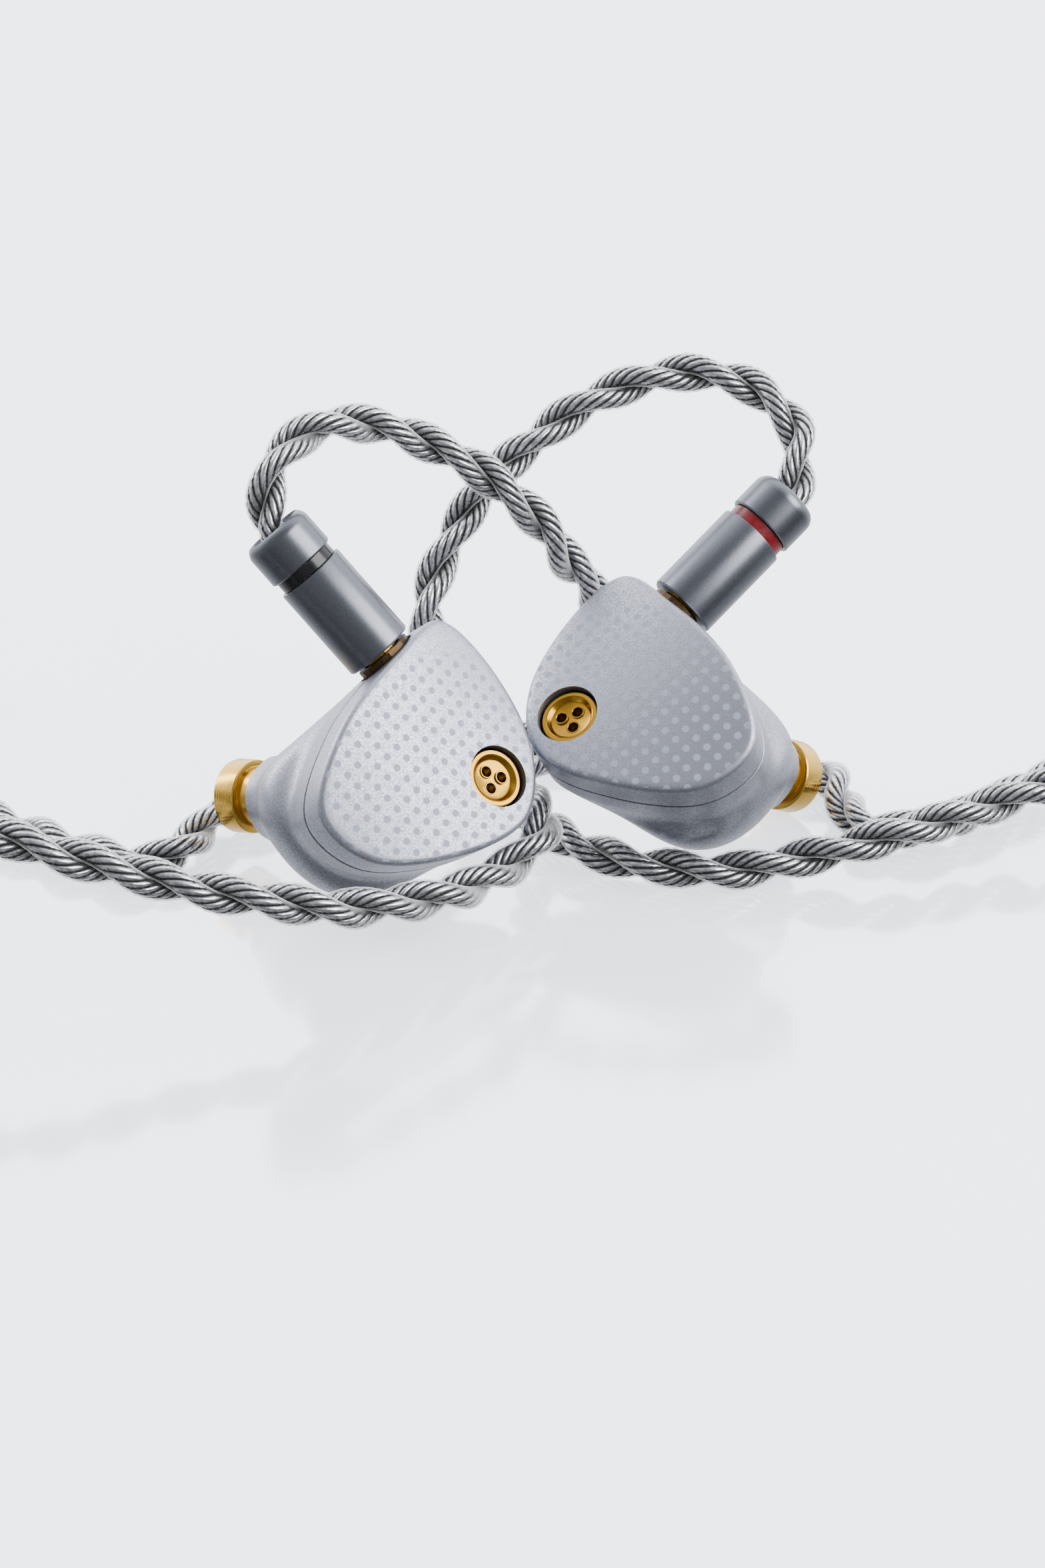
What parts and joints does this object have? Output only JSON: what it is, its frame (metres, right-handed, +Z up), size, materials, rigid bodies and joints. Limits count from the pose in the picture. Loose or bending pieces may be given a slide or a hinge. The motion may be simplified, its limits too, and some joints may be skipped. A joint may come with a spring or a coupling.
{
  "type": "pair of in-ear monitors",
  "caption": "In-ear monitors with crowned metal shells, nozzles and vents, turning on snap plugs of a twisted silver cable with slider, splitter, coil and jack.",
  "frame": {"origin": "centre of the two earpieces' bounding box, at the table they lie on, without the cable", "axes": "+Z up, +X from the left earpiece to the right one, -Y towards the faceplates"},
  "size_m": [0.1784, 0.0666, 0.0365],
  "materials": {
    "shell_metal": "bead-blasted, pale silver",
    "plug_metal": "satin grey, fine grain",
    "gold_plate": "polished gold plate",
    "brass": "satin",
    "steel_mesh": "fine perforated",
    "magnet_steel": "nickel plated",
    "white_foam": "open foam",
    "white_plastic": "moulded",
    "black_plastic": "moulded",
    "diaphragm_film": "thin film",
    "copper_wire": "enamelled copper",
    "black_enamel": "gloss",
    "red_enamel": "gloss",
    "silver_cable": "silver strands twisted in a clear jacket"
  },
  "bodies": {
    "cable": {"left_plug_nose": "gold_plate", "left_plug_pin": "gold_plate", "left_plug_insulator": "white_plastic", "left_plug_barrel": "plug_metal", "left_plug_cap": "plug_metal", "left_marker_ring": "black_enamel", "right_plug_nose": "gold_plate", "right_plug_pin": "gold_plate", "right_plug_insulator": "white_plastic", "right_plug_barrel": "plug_metal", "right_plug_cap": "plug_metal", "right_marker_ring": "red_enamel", "left_cord": "silver_cable", "right_cord": "silver_cable", "main_cord": "silver_cable", "cable_coil": "silver_cable", "tail_cord": "silver_cable", "coil_tie": "black_plastic", "y_splitter": "plug_metal", "jack_relief": "black_plastic", "jack_barrel": "plug_metal", "jack_sleeve": "gold_plate", "jack_ring": "gold_plate", "jack_tip": "gold_plate", "jack_insulator_1": "black_plastic", "jack_insulator_2": "black_plastic"},
    "left_earpiece": {"left_faceplate": "shell_metal", "left_rear_shell": "shell_metal", "left_vent_cap": "gold_plate", "left_vent_screen": "steel_mesh", "left_nozzle": "gold_plate", "left_nozzle_mesh": "steel_mesh", "left_nozzle_damper": "white_foam", "left_driver_frame": "black_plastic", "left_driver_magnet": "magnet_steel", "left_driver_diaphragm": "diaphragm_film", "left_socket_body": "brass", "left_socket_insulator": "white_plastic", "left_socket_contact": "gold_plate", "left_signal_wire": "copper_wire", "left_ground_wire": "copper_wire"},
    "right_earpiece": {"right_faceplate": "shell_metal", "right_rear_shell": "shell_metal", "right_vent_cap": "gold_plate", "right_vent_screen": "steel_mesh", "right_nozzle": "gold_plate", "right_nozzle_mesh": "steel_mesh", "right_nozzle_damper": "white_foam", "right_driver_frame": "black_plastic", "right_driver_magnet": "magnet_steel", "right_driver_diaphragm": "diaphragm_film", "right_socket_body": "brass", "right_socket_insulator": "white_plastic", "right_socket_contact": "gold_plate", "right_signal_wire": "copper_wire", "right_ground_wire": "copper_wire"},
    "chin_slider": {"chin_slider": "plug_metal"}
  },
  "joints": [
    {"name": "left_swivel", "type": "hinge", "parent": "cable", "child": "left_earpiece", "pos_m": [-0.01126, -0.00151, 0.01886], "axis": [-0.6544, 0.2132, 0.7255], "range_deg": [-5, 9]},
    {"name": "right_swivel", "type": "hinge", "parent": "cable", "child": "right_earpiece", "pos_m": [0.01303, 0.00761, 0.01839], "axis": [0.6924, 0.4536, 0.5611], "range_deg": [-9, 5]},
    {"name": "slider_travel", "type": "slide", "parent": "cable", "child": "chin_slider", "axis": [-0.788, 0.6157, 0], "range_m": [0, 0.0035]}
  ]
}
